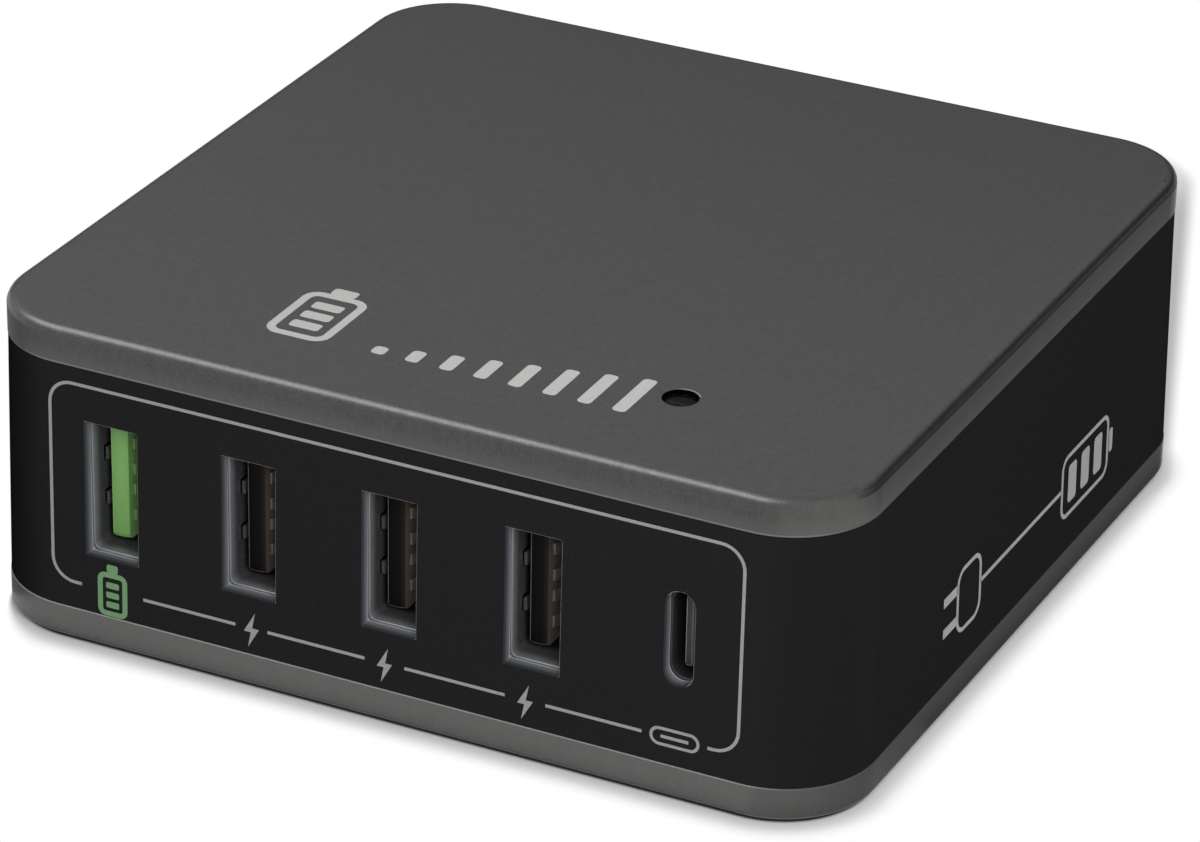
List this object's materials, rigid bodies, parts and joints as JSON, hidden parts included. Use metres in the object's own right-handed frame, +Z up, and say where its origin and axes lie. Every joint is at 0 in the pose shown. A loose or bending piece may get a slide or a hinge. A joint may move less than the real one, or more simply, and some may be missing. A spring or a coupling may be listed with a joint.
{
  "type": "multi-port usb charger",
  "caption": "Square desktop charger with metallic covers, a black band, upright USB ports in front, an indicator window on top and a mains inlet at the back.",
  "frame": {"origin": "on the surface it stands on, under the middle of the housing", "axes": "+Z up, -Y out of the ports, +X to the right of someone facing the ports"},
  "size_m": [0.084, 0.0834, 0.0309],
  "materials": {
    "cover_paint": "metallic grey coat, fine grain, satin",
    "band_black": "black moulded plastic, polished",
    "rubber_black": "matt",
    "screw_steel": "zinc plated",
    "lens_dark": "smoked clear plastic",
    "shell_steel": "nickel plated, folded",
    "tongue_green": "moulded",
    "tongue_black": "moulded",
    "contact_gold": "gold flashed",
    "inlet_black": "moulded",
    "pin_nickel": "nickel plated",
    "board_green": "solder mask",
    "led_clear": "water clear",
    "chip_black": "moulded",
    "can_sleeve": "shrink sleeve",
    "case_yellow": "moulded box",
    "disc_blue": "dipped coating",
    "ferrite_grey": "sintered",
    "wire_copper": "enamelled",
    "tape_yellow": "wrapped tape",
    "bobbin_black": "moulded",
    "sink_aluminium": "extruded"
  },
  "bodies": {
    "root": {"top_cover": "cover_paint", "middle_band": "band_black", "bottom_cover": "cover_paint", "housing_screws": "screw_steel", "board_screws": "screw_steel", "indicator_lens": "lens_dark", "indicator_led": "led_clear", "usb_c_shell": "shell_steel", "usb_c_tongue": "tongue_black", "usb_c_contacts": "contact_gold", "mains_inlet": "inlet_black", "inlet_pins": "pin_nickel", "main_board": "board_green", "port_board": "board_green", "header_bar": "chip_black", "header_pins": "contact_gold", "fuse": "chip_black", "varistor": "disc_blue", "filter_capacitor": "case_yellow", "choke_core": "ferrite_grey", "choke_winding_1": "wire_copper", "choke_winding_2": "wire_copper", "bridge_rectifier": "chip_black", "bulk_capacitor_1": "can_sleeve", "bulk_capacitor_2": "can_sleeve", "transformer_core": "ferrite_grey", "transformer_bobbin": "bobbin_black", "transformer_winding": "tape_yellow", "primary_heat_sink": "sink_aluminium", "secondary_heat_sink": "sink_aluminium", "switching_transistor": "chip_black", "output_rectifier": "chip_black", "safety_capacitor": "disc_blue", "optocoupler": "chip_black", "power_controller": "chip_black", "output_capacitor_1": "can_sleeve", "output_capacitor_2": "can_sleeve", "inductor_core": "ferrite_grey", "inductor_winding": "wire_copper", "rubber_foot_1": "rubber_black", "usb_a_shell_1": "shell_steel", "usb_a_tongue_1": "tongue_green", "usb_a_contacts_1": "contact_gold", "rubber_foot_2": "rubber_black", "usb_a_shell_2": "shell_steel", "usb_a_tongue_2": "tongue_black", "usb_a_contacts_2": "contact_gold", "rubber_foot_3": "rubber_black", "usb_a_shell_3": "shell_steel", "usb_a_tongue_3": "tongue_black", "usb_a_contacts_3": "contact_gold", "rubber_foot_4": "rubber_black", "usb_a_shell_4": "shell_steel", "usb_a_tongue_4": "tongue_black", "usb_a_contacts_4": "contact_gold", "port_controller_1": "chip_black", "port_controller_2": "chip_black", "port_controller_3": "chip_black", "port_controller_4": "chip_black", "port_controller_5": "chip_black"}
  },
  "joints": []
}
